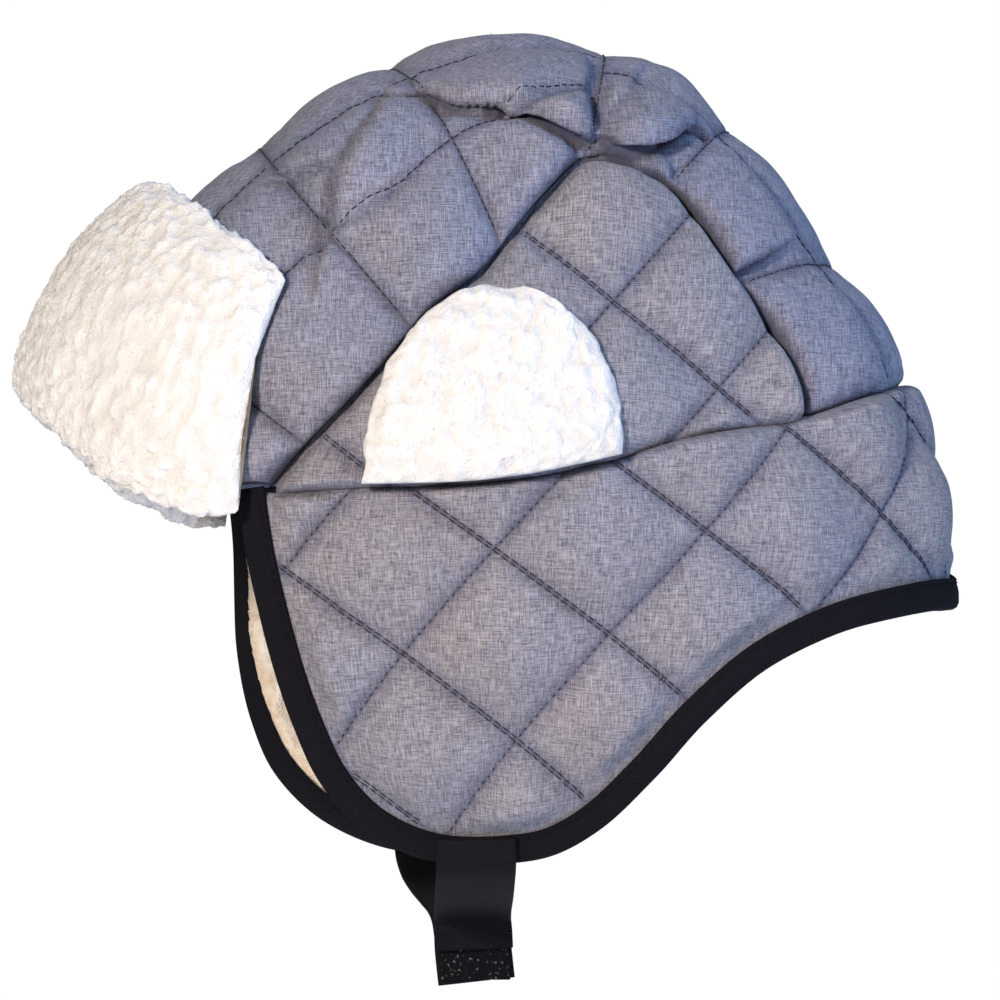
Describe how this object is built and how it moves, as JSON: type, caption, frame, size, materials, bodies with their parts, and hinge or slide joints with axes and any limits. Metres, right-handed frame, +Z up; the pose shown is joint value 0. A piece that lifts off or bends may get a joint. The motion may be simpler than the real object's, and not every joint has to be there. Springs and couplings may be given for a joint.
{
  "type": "earflap hat",
  "caption": "Quilted padded earflap hat with a turned-up sherpa brow flap, sherpa ear patches, bound ear flaps and a fastened webbing chin strap.",
  "frame": {"origin": "the point of the crown's inside that rests on the top of the head", "axes": "+Z up, -Y towards the front of the hat, +X towards the wearer's left"},
  "size_m": [0.1884, 0.2439, 0.2495],
  "materials": {
    "quilted_cloth": "heather grey woven cloth, quilted in squares with dark thread",
    "sherpa_white": "curly white pile",
    "sherpa_lining": "curly cream pile",
    "binding_tape": "matt navy black woven tape",
    "strap_webbing": "matt navy black webbing",
    "hook_tape": "black hook-and-loop tape with stitched edges"
  },
  "bodies": {
    "root": {"crown_center_panel": "quilted_cloth", "side_panel_left": "quilted_cloth", "side_panel_right": "quilted_cloth", "ear_flap_band": "quilted_cloth", "flap_lining": "sherpa_lining", "edge_binding": "binding_tape", "brow_flap": "sherpa_white", "brow_tape": "binding_tape", "ear_patch_left": "sherpa_white", "ear_patch_right": "sherpa_white", "chin_strap_left": "strap_webbing", "chin_strap_right": "strap_webbing", "hook_tape": "hook_tape"}
  },
  "joints": []
}
